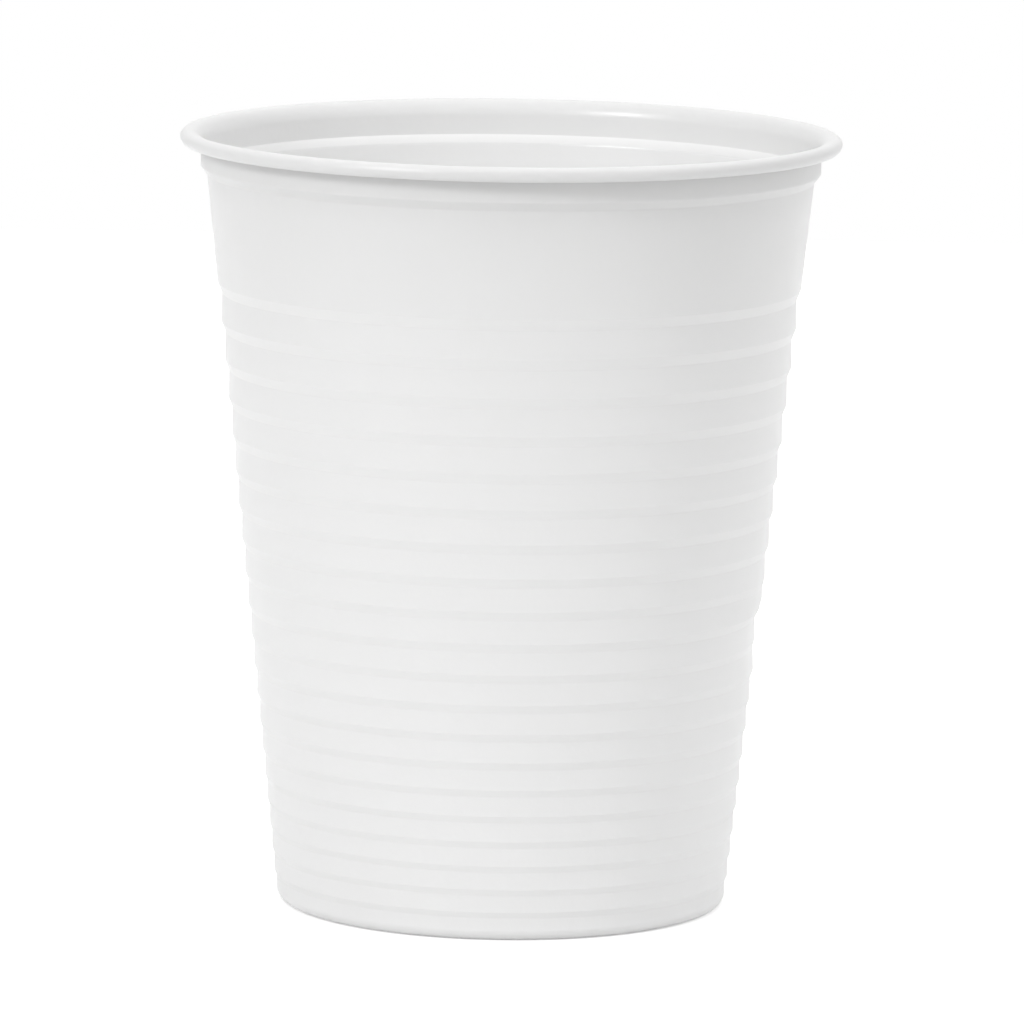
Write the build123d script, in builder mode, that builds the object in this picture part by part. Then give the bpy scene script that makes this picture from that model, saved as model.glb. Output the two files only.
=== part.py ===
"""Disposable rinse cup: one thermoformed piece with a stepped, ribbed wall and a rolled rim.

Millimetres, +Z up, origin at the middle of the foot, on the surface that the cup stands on.
The cup is one closed section, a thin wall of even thickness, turned about the Z axis.
"""
import os

from build123d import *

# Overall sizes
cup_height = 82.75
rim_diameter = 70.3
foot_diameter = 48.1
wall = 0.25

# Rolled rim: the wall turns outwards over the mouth and under, and stops short of the collar
roll_width = 2.45
roll_height = 1.55
roll_gap = 0.3

# Collar under the rim, and the shoulder that a stacked cup stops on
lip_depth = 4.75
shoulder_rise = 0.9
shoulder_width = 0.7

# Smooth band between the shoulder and the ribs
band_height = 11.45
band_taper = 1.2

# Ribs: level steps down the wall that crowd together towards the foot
rib_count = 20
first_step_depth = 0.47
foot_band_height = 2.25
crowding_share = 0.279
step_share = 0.26

# Foot: a rounded corner, a narrow ring that carries the cup and a raised panel inside it
foot_round = 1.2
ring_width = 1.6
panel_rise = 2.5
panel_slope_width = 0.9

# Radii and heights that follow from these
rim_radius = rim_diameter / 2
foot_radius = foot_diameter / 2
collar_radius = rim_radius - roll_width + wall
band_top_radius = collar_radius - shoulder_width
band_foot_radius = band_top_radius - band_taper
rib_top_radius = band_foot_radius - first_step_depth
shoulder_height = cup_height - lip_depth
ribs_top = shoulder_height - band_height
ring_radius = foot_radius - foot_round - ring_width
panel_radius = ring_radius - panel_slope_width

# The roll: a wide quarter turn out of the mouth, then half a turn round its outer edge
edge_radius = roll_height / 2
mouth_radius = roll_width - edge_radius
roll_axis = rim_radius - edge_radius
mouth_height = cup_height - mouth_radius
roll_foot = cup_height - roll_height
roll_end = collar_radius + roll_gap


def rib_steps():
    """Each step of the wall from the foot up, as its lower and its upper corner.

    The pitch falls evenly from the first rib to the last, and each band between two steps is
    upright. The bands' radii fall evenly with height, from the first band to the foot.
    """
    gaps = rib_count - 1
    mean_pitch = (ribs_top - foot_band_height) / (gaps + step_share)
    span = mean_pitch * gaps
    pitches = [mean_pitch * (1 + crowding_share * (1 - 2 * i / gaps)) for i in range(rib_count)]
    runs = [i / gaps for i in range(rib_count)]
    falls = [span * run * (1 + crowding_share * (1 - run)) for run in runs]
    tops = [ribs_top - fall for fall in falls]
    feet = [top - step_share * pitch for top, pitch in zip(tops, pitches)]
    middles = [(foot + top) / 2 for foot, top in zip(feet, tops[1:] + [0])]
    slope = (rib_top_radius - foot_radius) / (middles[0] - middles[-1])
    radii = [foot_radius + slope * (middle - middles[-1]) for middle in middles]
    corners = []
    for i in reversed(range(rib_count)):
        above = radii[i - 1] if i else band_foot_radius
        corners += [(radii[i], feet[i]), (above, tops[i])]
    return corners


def inner_side(points):
    """The same line one wall thickness further in, mitred at its corners."""
    corners = [Vector(*point) for point in points]
    sides = [(end - start).normalized().rotate(Axis.Z, 90) for start, end in zip(corners, corners[1:])]
    pairs = zip(corners, sides[:1] + sides, sides + sides[-1:])
    return [corner + (one + two) * (wall / (1 + one.dot(two))) for corner, one, two in pairs]


# Outside of the cup, from the middle of the panel to the start of the roll
base_points = [(0, panel_rise), (panel_radius, panel_rise), (ring_radius, 0), (foot_radius, 0)]
collar_points = [
    (band_top_radius, shoulder_height),
    (collar_radius, shoulder_height + shoulder_rise),
    (collar_radius, mouth_height),
]
foot_corner = len(base_points) - 1
outside = base_points + rib_steps() + collar_points
inside = inner_side(outside)

with BuildPart() as rinse_cup:
    with BuildSketch(Plane.XZ) as section:
        with BuildLine():
            Polyline(*outside)
            # Hidden face of the roll, from the collar to its free edge
            CenterArc((roll_axis, mouth_height), mouth_radius - wall, 180, -90)
            CenterArc((roll_axis, cup_height - edge_radius), edge_radius - wall, 90, -180)
            Polyline(
                (roll_axis, roll_foot + wall),
                (roll_end, roll_foot + wall),
                (roll_end, roll_foot),
                (roll_axis, roll_foot),
            )
            # Face that the lips touch, back over the top and into the mouth
            CenterArc((roll_axis, cup_height - edge_radius), edge_radius, -90, 180)
            CenterArc((roll_axis, mouth_height), mouth_radius, 90, 90)
            Polyline(*reversed(inside))
            Line((0, panel_rise + wall), (0, panel_rise))
        make_face()
        for line, radius in ((outside, foot_round), (inside, foot_round - wall)):
            fillet(section.vertices().sort_by_distance(line[foot_corner])[0], radius)
    revolve(axis=Axis.Z)

rinse_cup.part.label = "rinse_cup"
os.makedirs("parts", exist_ok=True)
export_step(rinse_cup.part, "parts/rinse_cup.step")
print("rinse_cup", round(rinse_cup.part.volume, 1), "cubic mm")
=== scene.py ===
# %% [markdown]
# # A disposable rinse cup
#
# The cup is one thin sheet of white plastic. It was drawn hot into a ribbed mould and then rolled
# over at its rim. The steps below shape that one sheet, give it its finish and stand it in a bright
# studio. The CAD model comes first, because it fixes the origin, the scale and the box to stay in.

import bpy
import numpy as np
from mathutils import Matrix, Vector


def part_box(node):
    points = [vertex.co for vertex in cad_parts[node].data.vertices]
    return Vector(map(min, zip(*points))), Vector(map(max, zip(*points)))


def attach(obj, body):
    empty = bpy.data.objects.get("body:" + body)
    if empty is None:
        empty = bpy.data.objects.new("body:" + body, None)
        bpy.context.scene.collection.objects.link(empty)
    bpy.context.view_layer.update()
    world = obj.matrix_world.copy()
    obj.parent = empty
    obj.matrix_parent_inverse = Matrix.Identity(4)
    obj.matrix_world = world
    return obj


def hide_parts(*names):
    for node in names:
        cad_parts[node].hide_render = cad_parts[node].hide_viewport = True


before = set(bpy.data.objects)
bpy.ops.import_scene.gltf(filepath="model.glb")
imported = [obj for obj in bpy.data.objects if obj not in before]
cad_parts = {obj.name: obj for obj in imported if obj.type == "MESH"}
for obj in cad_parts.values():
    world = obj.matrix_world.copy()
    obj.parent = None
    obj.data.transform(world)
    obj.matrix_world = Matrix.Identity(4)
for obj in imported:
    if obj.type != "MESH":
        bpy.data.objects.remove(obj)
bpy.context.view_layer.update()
cup_low, cup_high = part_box("rinse_cup")
print("CAD box from", tuple(cup_low), "to", tuple(cup_high))

# %% [markdown]
# ## Sizes
#
# The height and the rim come from the CAD box, so the cup can't outgrow it. The other sizes repeat
# the ones of the CAD model. Naming them once here means that a change runs through every later step.

# %% Sizes in metres
mm = 0.001
cup_height = cup_high.z
rim_radius = min(cup_high.x, cup_high.y, -cup_low.x, -cup_low.y)
foot_radius = 24.05 * mm
wall = 0.25 * mm
roll_width = 2.45 * mm
roll_height = 1.55 * mm
roll_gap = 0.3 * mm
lip_depth = 4.75 * mm
shoulder_rise = 0.9 * mm
shoulder_width = 0.7 * mm
band_height = 11.45 * mm
band_taper = 1.2 * mm
collar_radius = rim_radius - roll_width + wall
band_top_radius = collar_radius - shoulder_width
band_foot_radius = band_top_radius - band_taper
shoulder_height = cup_height - lip_depth
ribs_top = shoulder_height - band_height
print("collar", round(collar_radius / mm, 2), "mm, shoulder at", round(shoulder_height / mm, 2), "mm")

# %% [markdown]
# ## The ribs
#
# Twenty steps stiffen the thin wall, and they crowd together towards the foot. They could be drawn
# one by one, but a rule is shorter and easier to change: the place of a step is a function of its
# number, and numpy works out all the steps at once.

# %% Corners of the ribbed wall
rib_count = 20
first_step_depth = 0.47 * mm
rib_top_radius = band_foot_radius - first_step_depth
foot_band_height = 2.25 * mm
crowding_share = 0.279
step_share = 0.26


def rib_corners():
    """Lower and upper corner of every step from the foot up, as rows of radius and height.

    With u from 0 at the first step to 1 at the last, a step's top lies span * u * (1 + k * (1 - u))
    under the first one, so the pitch falls evenly. The step takes a fixed share of its pitch. Each
    band between two steps is upright, and its radius falls evenly with the height of its middle.
    """
    gaps = rib_count - 1
    u = np.linspace(0, 1, rib_count)
    mean_pitch = (ribs_top - foot_band_height) / (gaps + step_share)
    tops = ribs_top - mean_pitch * gaps * u * (1 + crowding_share * (1 - u))
    feet = tops - step_share * mean_pitch * (1 + crowding_share * (1 - 2 * u))
    middles = (feet + np.append(tops[1:], 0)) / 2
    share = (middles - middles[-1]) / (middles[0] - middles[-1])
    radii = foot_radius + (rib_top_radius - foot_radius) * share
    above = np.append(band_foot_radius, radii[:-1])
    steps = np.stack([np.column_stack([radii, feet]), np.column_stack([above, tops])], axis=1)
    return steps[::-1].reshape(-1, 2)


ribs = rib_corners()
print(rib_count, "steps between", np.round(ribs[[0, -1], 1] / mm, 2), "mm")

# %% [markdown]
# ## The sheet in section
#
# Cut the cup down its middle and the sheet is one line: out along the base, round the foot, up the
# steps, over the shoulder, up the collar and round the roll. Only the corners of that line and the
# radius of each corner are listed. Hot sheet never takes a sharp corner, so every corner has a radius.

# %% Corners and radii of the section
foot_round = 1.2 * mm
ring_width = 1.6 * mm
panel_slope_width = 0.9 * mm
panel_rise = 2.5 * mm
ring_radius = foot_radius - foot_round - ring_width
panel_radius = ring_radius - panel_slope_width
panel_round = 0.6 * mm
rib_round = 0.2 * mm
shoulder_round = 0.35 * mm
mouth_round = roll_width - roll_height / 2 - wall
edge_round = roll_height / 2 - wall
roll_top = cup_height - wall
roll_under = cup_height - roll_height + wall
roll_edge = rim_radius - wall
roll_end = collar_radius + roll_gap + wall / 2

base = [(0, panel_rise), (panel_radius, panel_rise), (ring_radius, 0), (foot_radius, 0)]
shoulder = [(band_top_radius, shoulder_height), (collar_radius, shoulder_height + shoulder_rise)]
roll = [(collar_radius, roll_top), (roll_edge, roll_top), (roll_edge, roll_under), (roll_end, roll_under)]
corners = np.vstack([base, ribs, shoulder, roll])
rounds = np.array(
    [panel_round, panel_round, foot_round]
    + [rib_round] * len(ribs)
    + [shoulder_round, shoulder_round]
    + [mouth_round, edge_round, edge_round]
)
print(len(corners), "corners and", len(rounds), "radii")

# %% [markdown]
# ## Rounding the corners
#
# A Bevel modifier would round every corner alike, and a subdivided mesh would only come near the
# true arcs. Here each corner is a true arc of its own radius. The line also keeps the way its left
# side faces at every point, because the next step needs it to give the sheet its thickness.

# %% A line with rounded corners
arc_step = np.radians(7)


def rounded_line(corners, rounds):
    """Points along a line with rounded corners, and the way that the left side faces at each.

    A corner that turns by an angle a starts its arc r * tan(a / 2) before the corner. Along the arc
    the heading swings evenly through a, and each point lies r from the arc's middle, square to it.
    """
    along = np.diff(corners, axis=0)
    along /= np.linalg.norm(along, axis=1, keepdims=True)
    heading = np.unwrap(np.arctan2(along[:, 1], along[:, 0]))
    turn = np.diff(heading)
    bend = np.sign(turn) * rounds
    start = corners[1:-1] - along[:-1] * (rounds * np.tan(np.abs(turn) / 2))[:, None]
    middle = start + np.column_stack([-along[:-1, 1], along[:-1, 0]]) * bend[:, None]
    counts = np.ceil(np.abs(turn) / arc_step).astype(int) + 1
    which = np.repeat(np.arange(len(turn)), counts)
    first = np.repeat(np.cumsum(counts) - counts, counts)
    share = (np.arange(len(which)) - first) / (counts[which] - 1)
    angle = np.concatenate([heading[:1], heading[which] + share * turn[which], heading[-1:]])
    facing = np.column_stack([-np.sin(angle), np.cos(angle)])
    arcs = middle[which] - facing[1:-1] * bend[which, None]
    return np.vstack([corners[:1], arcs, corners[-1:]]), facing


arc_points, arc_facing = rounded_line(corners, rounds)
print(len(arc_points), "points on the corners")

# %% [markdown]
# ## Even pieces
#
# The bands, the base panel and the smooth wall are still one long piece each, and a long thin face can
# neither bend nor shade well. Subdividing the whole mesh would crowd the small arcs as well. So only
# the long runs are divided, and points that fall on the same place become one.

# %% The outside of the sheet
longest_run = 2 * mm
same_place = 0.0001 * mm


def divided(points, facing):
    """The same line without doubled points, and with its long runs divided into even pieces.

    A point of a run is a mix of the run's two ends, by its share of the way, and so is the way it faces.
    """
    gap = np.linalg.norm(np.diff(points, axis=0), axis=1)
    kept = np.append(True, gap > same_place)
    points, facing = points[kept], facing[kept]
    pieces = np.ceil(np.linalg.norm(np.diff(points, axis=0), axis=1) / longest_run).astype(int)
    which = np.repeat(np.arange(len(pieces)), pieces)
    share = (np.arange(len(which)) - np.repeat(np.cumsum(pieces) - pieces, pieces)) / pieces[which]
    blend = share[:, None]
    new_points = points[which] * (1 - blend) + points[which + 1] * blend
    new_facing = facing[which] * (1 - blend) + facing[which + 1] * blend
    return np.vstack([new_points, points[-1:]]), np.vstack([new_facing, facing[-1:]])


under_side, upper_facing = divided(arc_points, arc_facing)
print(len(under_side), "points along the outside of the sheet")

# %% [markdown]
# ## An even wall
#
# The inside of the cup is the outside moved in by the thickness of the sheet, square to it. The free
# edge of the roll gets a small half circle. Together they close the section, so the cup is one
# watertight skin and light can pass through the real thickness of its wall.

# %% The closed section
edge_pieces = 6
upper_side = under_side + wall * upper_facing
edge_facing = upper_facing[-1]
edge_along = np.array([edge_facing[1], -edge_facing[0]])
edge_middle = under_side[-1] + wall / 2 * edge_facing
edge_angle = np.linspace(0, np.pi, edge_pieces + 1)[1:-1, None]
free_edge = edge_middle + wall / 2 * (np.sin(edge_angle) * edge_along - np.cos(edge_angle) * edge_facing)
section = np.vstack([under_side, free_edge, upper_side[::-1]])
print(len(section), "points round the closed section")

# %% [markdown]
# ## A wall that isn't quite true
#
# A thin cup is never perfectly round: its wall swells and narrows by a few hundredths of a millimetre
# between the foot and the shoulder. Sculpting could do it, but a function of the angle and the height
# gives the same wall every time.

# %% Swells of the wall
oval_depth = 0.05 * mm
oval_turn = 0.6
swell_depth = 0.03 * mm
swell_twist = 90


def out_of_round(angle, height):
    """How far the wall stands out: a wave of two crests round the cup, and one of three that twists upwards.

    Both are cosines of the angle, and a squared sine of the height fades them out at foot and shoulder.
    """
    fade = np.sin(np.pi * np.clip(height / shoulder_height, 0, 1)) ** 2
    oval = oval_depth * np.cos(2 * angle + oval_turn)
    swell = swell_depth * np.cos(3 * angle - swell_twist * height)
    return fade * (oval + swell)


print("the wall is out of round by up to", round((oval_depth + swell_depth) / mm, 2), "mm")

# %% [markdown]
# ## A pinch
#
# A wall this thin is easily pinched. At the right, a little under the middle, it is pushed in, and it
# stands out just above. Proportional editing would drag the points by hand. Two bell curves say the
# same in a few sizes, and they fade out round the cup.

# %% Pinch in the wall
pinch_angle = np.radians(-10)
pinch_width = np.radians(17)
hollow_depth = 0.42 * mm
hollow_height = 30.1 * mm
hollow_reach = 2.6 * mm
bulge_depth = 0.25 * mm
bulge_height = 33.8 * mm
bulge_reach = 1.2 * mm


def bell(distance, reach):
    """A bell curve, exp of minus the square of distance over reach: 1 in the middle, 0 far away."""
    return np.exp(-((distance / reach) ** 2))


def pinch(angle, height):
    """How far the pinch moves the wall: a hollow with a smaller bulge over it, fading round the cup."""
    hollow = hollow_depth * bell(height - hollow_height, hollow_reach)
    bulge = bulge_depth * bell(height - bulge_height, bulge_reach)
    off = np.angle(np.exp(1j * (angle - pinch_angle)))
    return (bulge - hollow) * bell(off, pinch_width)


print("the pinch pushes the wall in by", round(-pinch(pinch_angle, hollow_height) / mm, 2), "mm")

# %% [markdown]
# ## Turning the section
#
# Turning a section about an axis is a surface of two parameters: the place along the section and the
# angle round the axis. A Screw modifier would turn it too, but not with a wall that swells. Here
# every ring of points is the section's radius, plus the swell and the pinch at that height.

# %% The turned surface
columns = 144
angle = np.linspace(0, 2 * np.pi, columns, endpoint=False)[None, :]
ring_r, ring_z = section[1:-1, :1], section[1:-1, 1:]
moved = out_of_round(angle, ring_z) + pinch(angle, ring_z)
reach = ring_r + moved * (ring_r > foot_radius - foot_round)
rings = np.stack([reach * np.cos(angle), reach * np.sin(angle), ring_z + 0 * angle], axis=-1)
base_middle = [[0, 0, section[0, 1]]]
panel_middle = [[0, 0, section[-1, 1]]]
points = np.vstack([base_middle, rings.reshape(-1, 3), panel_middle])
print(len(points), "points on the cup")

# %% [markdown]
# ## The mesh
#
# Neighbouring rings are joined by quads, and the two middles of the base by fans of triangles. The
# last column joins the first again, so the sheet has no seam. Every face is listed so that it points
# out of the plastic.

# %% Faces of the sheet
ring_count = len(section) - 2
here = 1 + np.arange(ring_count * columns).reshape(ring_count, columns)
beside = np.roll(here, -1, axis=1)
quads = np.stack([here[:-1], beside[:-1], beside[1:], here[1:]], axis=-1).reshape(-1, 4)
base_fan = np.column_stack([np.zeros(columns, int), beside[0], here[0]])
panel_fan = np.column_stack([here[-1], beside[-1], np.full(columns, len(points) - 1)])

cup_mesh = bpy.data.meshes.new("rinse_cup_sheet")
cup_mesh.from_pydata(points, [], base_fan.tolist() + quads.tolist() + panel_fan.tolist())
cup_mesh.shade_smooth()
print(len(cup_mesh.polygons), "faces")

# %% [markdown]
# ## The UV map
#
# The map unrolls the sheet: u goes round the cup and v along the section. Unwrapping by hand would
# need a marked seam, but here the map comes from the same numbers as the points.

# %% UV map of the sheet
along = np.append(0, np.cumsum(np.linalg.norm(np.diff(section, axis=0), axis=1)))
v = along / along[-1]
u = np.arange(columns + 1) / columns
u_fan = np.column_stack([(u[:-1] + u[1:]) / 2, u[1:], u[:-1]])
u_quads = np.tile(np.column_stack([u[:-1], u[1:], u[1:], u[:-1]]), (ring_count - 1, 1))
v_quads = np.repeat(np.column_stack([v[1:-2], v[1:-2], v[2:-1], v[2:-1]]), columns, axis=0)
uv_base = np.stack([u_fan, np.tile([v[0], v[1], v[1]], (columns, 1))], axis=-1)
uv_panel = np.stack([u_fan[:, [2, 1, 0]], np.tile([v[-2], v[-2], v[-1]], (columns, 1))], axis=-1)
uv_quads = np.stack([u_quads, v_quads], axis=-1)
uv = np.vstack([uv_base.reshape(-1, 2), uv_quads.reshape(-1, 2), uv_panel.reshape(-1, 2)])
cup_mesh.uv_layers.new(name="sheet").uv.foreach_set("vector", uv.ravel())
print("section of", round(along[-1] / mm, 1), "mm unrolled along v")

# %% [markdown]
# ## What the finish follows
#
# The white of the cup is painted by place: painted shade greys the rim, the collar and the top of the
# wall, painted light lightens the wall towards the foot, and more painted light falls on the steps where
# they face down to the floor. Weights could be painted by hand. Here three point attributes get them from
# the section: the inner side, painted lighter, with the ledge inside the shoulder left darker as painted
# shade and a touch rougher, the top shade to foot light, and the floor light on the steps.

# %% Attributes of the sheet
ledge_shade_share = 0.2
foot_light_curve = 0.4
roll_fade_start = 0.5 * mm
roll_fade_length = 1 * mm
height = section[:, 1]
below_roll = np.clip((cup_height - height - roll_fade_start) / roll_fade_length, 0, 1)
inner = (np.arange(len(section)) >= len(under_side)) * below_roll
# The inside is painted lighter, and the ledge inside the shoulder keeps mostly the darker outside white as
# painted shade.
on_ledge = (height > shoulder_height) & (height < shoulder_height + shoulder_rise)
inner_side = np.where(on_ledge, ledge_shade_share * inner, inner)
# Painted shade at the rim, collar and shoulder, turning to painted light towards the foot.
top_shade_to_foot_light = np.clip(1 - height / shoulder_height, 0, 1) ** foot_light_curve
# How far the outside faces down to the floor, as the weight of painted light on the steps.
facing_floor = np.zeros(len(section))
facing_floor[: len(under_side)] = np.clip(upper_facing[:, 1], 0, 1)
on_steps = (height > foot_round) & (height < ribs_top) & (section[:, 0] > ring_radius)
floor_light_on_steps = np.where(on_steps, facing_floor, 0)
for name, value in (("inner_side", inner_side), ("top_shade_to_foot_light", top_shade_to_foot_light), ("floor_light_on_steps", floor_light_on_steps)):
    spread = np.concatenate([value[:1], np.repeat(value[1:-1], columns), value[-1:]])
    cup_mesh.attributes.new(name, "FLOAT", "POINT").data.foreach_set("value", spread)
    print(name, "up to", round(spread.max(), 2))

# %% [markdown]
# ## The piece
#
# The mesh becomes one object that stands for the CAD solid. A Weighted Normal modifier lets the wide
# faces lead, so the bands between the steps shade flat and the turn stays inside the small arcs.

# %% The cup as a piece
cup = bpy.data.objects.new("cup_sheet", cup_mesh)
bpy.context.scene.collection.objects.link(cup)
cup.modifiers.new("even_shading", "WEIGHTED_NORMAL")
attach(cup, "root")
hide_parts("rinse_cup")
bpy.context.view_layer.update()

# %% [markdown]
# ## The plastic
#
# The sheet is white polystyrene. It could be an image wrapped round the cup, but nodes keep their
# detail at any distance. Three helpers come first: one adds a node, one makes noise in the cup's own
# coordinates, and one mixes two colours.

# %% The material of the sheet
plastic = bpy.data.materials.new("white_polystyrene")
plastic.use_nodes = True
plastic_nodes = plastic.node_tree.nodes
plastic_links = plastic.node_tree.links
shader = plastic_nodes["Principled BSDF"]


def add_node(nodes, kind, **settings):
    """A new node of this kind with its own settings, such as its operation or its data type."""
    made = nodes.new(kind)
    for setting, value in settings.items():
        setattr(made, setting, value)
    return made


def noise(scale, detail, squash=(1, 1, 1)):
    """Noise on Object coordinates, in features per metre, pulled out along an axis by squash."""
    place = add_node(plastic_nodes, "ShaderNodeTexCoord")
    pull = add_node(plastic_nodes, "ShaderNodeMapping")
    pull.inputs["Scale"].default_value = squash
    made = add_node(plastic_nodes, "ShaderNodeTexNoise")
    made.inputs["Scale"].default_value = scale
    made.inputs["Detail"].default_value = detail
    plastic_links.new(place.outputs["Object"], pull.inputs["Vector"])
    plastic_links.new(pull.outputs["Vector"], made.inputs["Vector"])
    return made.outputs["Fac"]


def mixed(share, first, second):
    """A colour between two colours, where share is a socket and a colour is a socket or a value."""
    made = add_node(plastic_nodes, "ShaderNodeMix", data_type="RGBA")
    plastic_links.new(share, made.inputs["Factor"])
    for socket, colour in ((made.inputs["A"], first), (made.inputs["B"], second)):
        if isinstance(colour, tuple):
            socket.default_value = colour
        else:
            plastic_links.new(colour, socket)
    return made.outputs["Result"]


print("material", plastic.name)

# %% [markdown]
# ## Its white
#
# A sheet this thin glows with the light on its other side. A Translucent shader could fake that. Here
# the light scatters under the surface and passes through the real wall, as in the plastic itself. One
# flat white would look like paint, so a slow clouding varies it. Painted shade makes the rim greyer than
# the wall, and painted light makes the foot, the down-facing steps and the inside a little lighter.

# %% White of the sheet
scatter_depth = 0.35 * mm
polystyrene_ior = 1.59
shader.inputs["IOR"].default_value = polystyrene_ior
shader.inputs["Subsurface Weight"].default_value = 1
shader.inputs["Subsurface Radius"].default_value = (1, 1, 1)
shader.inputs["Subsurface Scale"].default_value = scatter_depth
cup_mesh.materials.append(plastic)


def white(level):
    """A white of this level with a trace less blue."""
    return (level, level, 0.998 * level, 1)


clouding = noise(scale=55, detail=3)
# Painted shade greys the rim and the top of the wall, and painted light whitens the wall towards the foot.
shaded_top_white = mixed(clouding, white(0.77), white(0.75))
lit_foot_white = mixed(clouding, white(0.85), white(0.83))
# Painted light: the inside is lighter than the outside.
lit_inside_white = mixed(clouding, white(0.87), white(0.85))
foot_light_share = add_node(plastic_nodes, "ShaderNodeAttribute", attribute_name="top_shade_to_foot_light")
inward = add_node(plastic_nodes, "ShaderNodeAttribute", attribute_name="inner_side")
floor_lit_steps = add_node(plastic_nodes, "ShaderNodeAttribute", attribute_name="floor_light_on_steps")
outside_white = mixed(foot_light_share.outputs["Fac"], shaded_top_white, lit_foot_white)
# Painted light: the steps are lighter where they face down to the floor.
floor_lit_step_white = mixed(floor_lit_steps.outputs["Fac"], outside_white, white(0.9))
plastic_links.new(mixed(inward.outputs["Fac"], floor_lit_step_white, lit_inside_white), shader.inputs["Base Color"])
print("light scatters within", round(scatter_depth / mm, 2), "mm")

# %% [markdown]
# ## Its gloss
#
# Formed plastic is glossy, but never as even as glass. One value of roughness would look like a coat of
# varnish. So a fine noise varies it, and the inside is a touch smoother, because it never touched the
# mould.

# %% Gloss of the sheet
least_rough, most_rough = 0.3, 0.37
inside_polish = 0.02
dullness = add_node(plastic_nodes, "ShaderNodeMapRange")
dullness.inputs["From Min"].default_value = 0.3
dullness.inputs["From Max"].default_value = 0.7
dullness.inputs["To Min"].default_value = least_rough
dullness.inputs["To Max"].default_value = most_rough
plastic_links.new(noise(scale=420, detail=2), dullness.inputs["Value"])
smoother = add_node(plastic_nodes, "ShaderNodeMath", operation="MULTIPLY_ADD")
smoother.inputs[1].default_value = -inside_polish
plastic_links.new(inward.outputs["Fac"], smoother.inputs[0])
plastic_links.new(dullness.outputs["Result"], smoother.inputs[2])
plastic_links.new(smoother.outputs["Value"], shader.inputs["Roughness"])
print("roughness from", round(least_rough - inside_polish, 2), "to", most_rough)

# %% [markdown]
# ## Its relief
#
# The skin of formed sheet has a faint orange peel, and fine draw lines run up the wall where it slid
# along the mould. Displacing the mesh would take millions of points. A bump is enough here, because the
# relief is far too low to show in the outline.

# %% Relief of the sheet
relief_depth = 0.015 * mm
draw_pull = (1, 1, 0.04)
relief = add_node(plastic_nodes, "ShaderNodeMath", operation="ADD")
plastic_links.new(noise(scale=1100, detail=2), relief.inputs[0])
plastic_links.new(noise(scale=650, detail=1, squash=draw_pull), relief.inputs[1])
peel = add_node(plastic_nodes, "ShaderNodeBump")
peel.inputs["Distance"].default_value = relief_depth
plastic_links.new(relief.outputs["Value"], peel.inputs["Height"])
plastic_links.new(peel.outputs["Normal"], shader.inputs["Normal"])
print("relief of", round(relief_depth / mm, 3), "mm")

# %% [markdown]
# ## A white floor
#
# The cup stands on a wide pale floor, which throws light back up into the steps. A large plane could
# be added from the menu, but four points written out keep its size in plain sight.

# %% The floor
floor_half = 0.6
floor_points = [
    (-floor_half, -floor_half, 0),
    (floor_half, -floor_half, 0),
    (floor_half, floor_half, 0),
    (-floor_half, floor_half, 0),
]
floor_mesh = bpy.data.meshes.new("floor")
floor_mesh.from_pydata(floor_points, [], [(0, 1, 2, 3)])
floor = bpy.data.objects.new("floor", floor_mesh)
bpy.context.scene.collection.objects.link(floor)
print("floor", 2 * floor_half, "m wide")

# %% [markdown]
# ## Paper on the floor
#
# Pale paper lit like the cup would render light grey. More lamps would whiten it, but they would burn
# out the cup. So the paper glows a little, to the camera and in reflections alone. The glow adds no
# light to the cup, and the soft shadow at the foot stays visible.

# %% The paper
paper_white = 0.77
paper_glow = 0.45
paper = bpy.data.materials.new("floor_paper")
paper.use_nodes = True
paper_nodes = paper.node_tree.nodes
paper_links = paper.node_tree.links
paper_shader = paper_nodes["Principled BSDF"]
paper_shader.inputs["Base Color"].default_value = (paper_white, paper_white, paper_white, 1)
paper_shader.inputs["Roughness"].default_value = 0.9
paper_shader.inputs["Specular IOR Level"].default_value = 0
paper_shader.inputs["Emission Color"].default_value = (1, 1, 1, 1)
floor_mesh.materials.append(paper)


def seen_directly(nodes, links):
    """1 for camera, mirror and glass rays, and 0 for rays that carry light from surface to surface."""
    path = add_node(nodes, "ShaderNodeLightPath")
    seen = add_node(nodes, "ShaderNodeMath", operation="MAXIMUM")
    links.new(path.outputs["Is Camera Ray"], seen.inputs[0])
    links.new(path.outputs["Is Glossy Ray"], seen.inputs[1])
    all_seen = add_node(nodes, "ShaderNodeMath", operation="MAXIMUM")
    links.new(seen.outputs["Value"], all_seen.inputs[0])
    links.new(path.outputs["Is Transmission Ray"], all_seen.inputs[1])
    return all_seen.outputs["Value"]


glow = add_node(paper_nodes, "ShaderNodeMath", operation="MULTIPLY")
glow.inputs[1].default_value = paper_glow
paper_links.new(seen_directly(paper_nodes, paper_links), glow.inputs[0])
paper_links.new(glow.outputs["Value"], paper_shader.inputs["Emission Strength"])
print("paper of", paper_white, "with a glow of", paper_glow)

# %% [markdown]
# ## The room
#
# A small product studio has a bright ceiling and darker walls. The ceiling could be a large lamp. In
# the world it takes three nodes: the light from any direction is how far that direction points to the
# brightest spot, overhead and a little to the front right. The camera and reflections see plain white.

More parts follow.
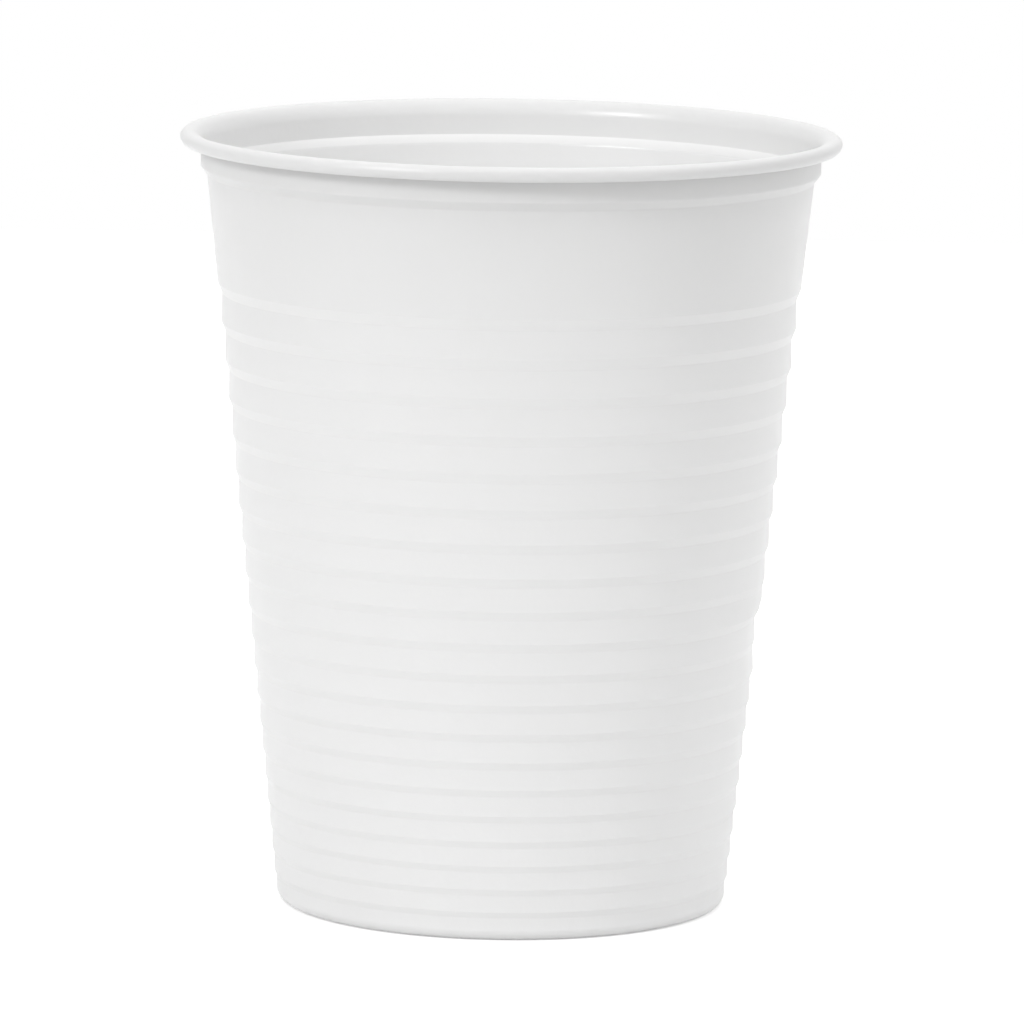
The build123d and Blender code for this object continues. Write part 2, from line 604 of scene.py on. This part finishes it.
# %% The room
brightest_way = (0.2, -0.12, 0.972)
ceiling_strength = 1.52
world = bpy.data.worlds.new("studio")
world.use_nodes = True
bpy.context.scene.world = world
world_nodes = world.node_tree.nodes
world_links = world.node_tree.links
room = world_nodes["Background"]
direction = add_node(world_nodes, "ShaderNodeTexCoord")
towards_softbox = add_node(world_nodes, "ShaderNodeVectorMath", operation="DOT_PRODUCT")
towards_softbox.inputs[1].default_value = brightest_way
overhead = add_node(world_nodes, "ShaderNodeMapRange")
overhead.inputs["To Max"].default_value = ceiling_strength
white_room = add_node(world_nodes, "ShaderNodeMix")
white_room.inputs["B"].default_value = 1
world_links.new(direction.outputs["Generated"], towards_softbox.inputs[0])
world_links.new(towards_softbox.outputs["Value"], overhead.inputs["Value"])
world_links.new(overhead.outputs["Result"], white_room.inputs["A"])
world_links.new(seen_directly(world_nodes, world_links), white_room.inputs["Factor"])
world_links.new(white_room.outputs["Result"], room.inputs["Strength"])
room.inputs["Color"].default_value = (1, 1, 1, 1)
print("a ceiling of strength", ceiling_strength)

# %% [markdown]
# ## The lamp
#
# One soft lamp stands at the left of the camera and models the round wall. A sun would give hard
# shadows, and a stronger lamp would burn out the white. At this power the brightest bands stay under
# pure white.

# %% The lamp
lamp_width = 0.3
lamp_power = 4.8
lamp_place = Vector((-0.76, -0.76, 0.66))
cup_middle = Vector((0, 0, cup_height / 2))
lamp = bpy.data.lights.new("key_lamp", "AREA")
lamp.shape = "SQUARE"
lamp.size = lamp_width
lamp.energy = lamp_power
key_lamp = bpy.data.objects.new("key_lamp", lamp)
bpy.context.scene.collection.objects.link(key_lamp)
key_lamp.location = lamp_place
key_lamp.rotation_euler = (cup_middle - lamp_place).to_track_quat("-Z", "Y").to_euler()
print("a lamp", round((cup_middle - lamp_place).length, 2), "m from the cup")

# %% [markdown]
# ## The camera
#
# The photograph was taken with a long lens from a little above the rim: the mouth is a thin ellipse,
# and the foot curves little more than the rim. The camera also leaned by under a degree, and the cup
# leans with it in the picture. A Track To constraint would stand it upright, so its axes are written out.

# %% Camera at the photograph's angle
camera_distance = 914.9 * mm
camera_height = 180.54 * mm
pitch, yaw, lean = np.radians([8.615, 0.04, 0.845])
focal_length = 304.44
sensor_width = 36

forward = np.array([np.sin(yaw) * np.cos(pitch), np.cos(yaw) * np.cos(pitch), -np.sin(pitch)])
level = np.array([np.cos(yaw), -np.sin(yaw), 0])
upright = np.cross(level, forward)
right = np.cos(lean) * level + np.sin(lean) * upright
up = np.cos(lean) * upright - np.sin(lean) * level

camera_data = bpy.data.cameras.new("camera")
camera_data.lens = focal_length
camera_data.sensor_width = sensor_width
camera = bpy.data.objects.new("camera", camera_data)
bpy.context.scene.collection.objects.link(camera)
turn = Matrix(np.column_stack([right, up, -forward]).tolist()).to_4x4()
camera.matrix_world = Matrix.Translation((0, -camera_distance, camera_height)) @ turn
bpy.context.scene.camera = camera
bpy.context.scene.view_settings.view_transform = "Standard"
print("camera", camera_distance, "m away with a", focal_length, "mm lens")
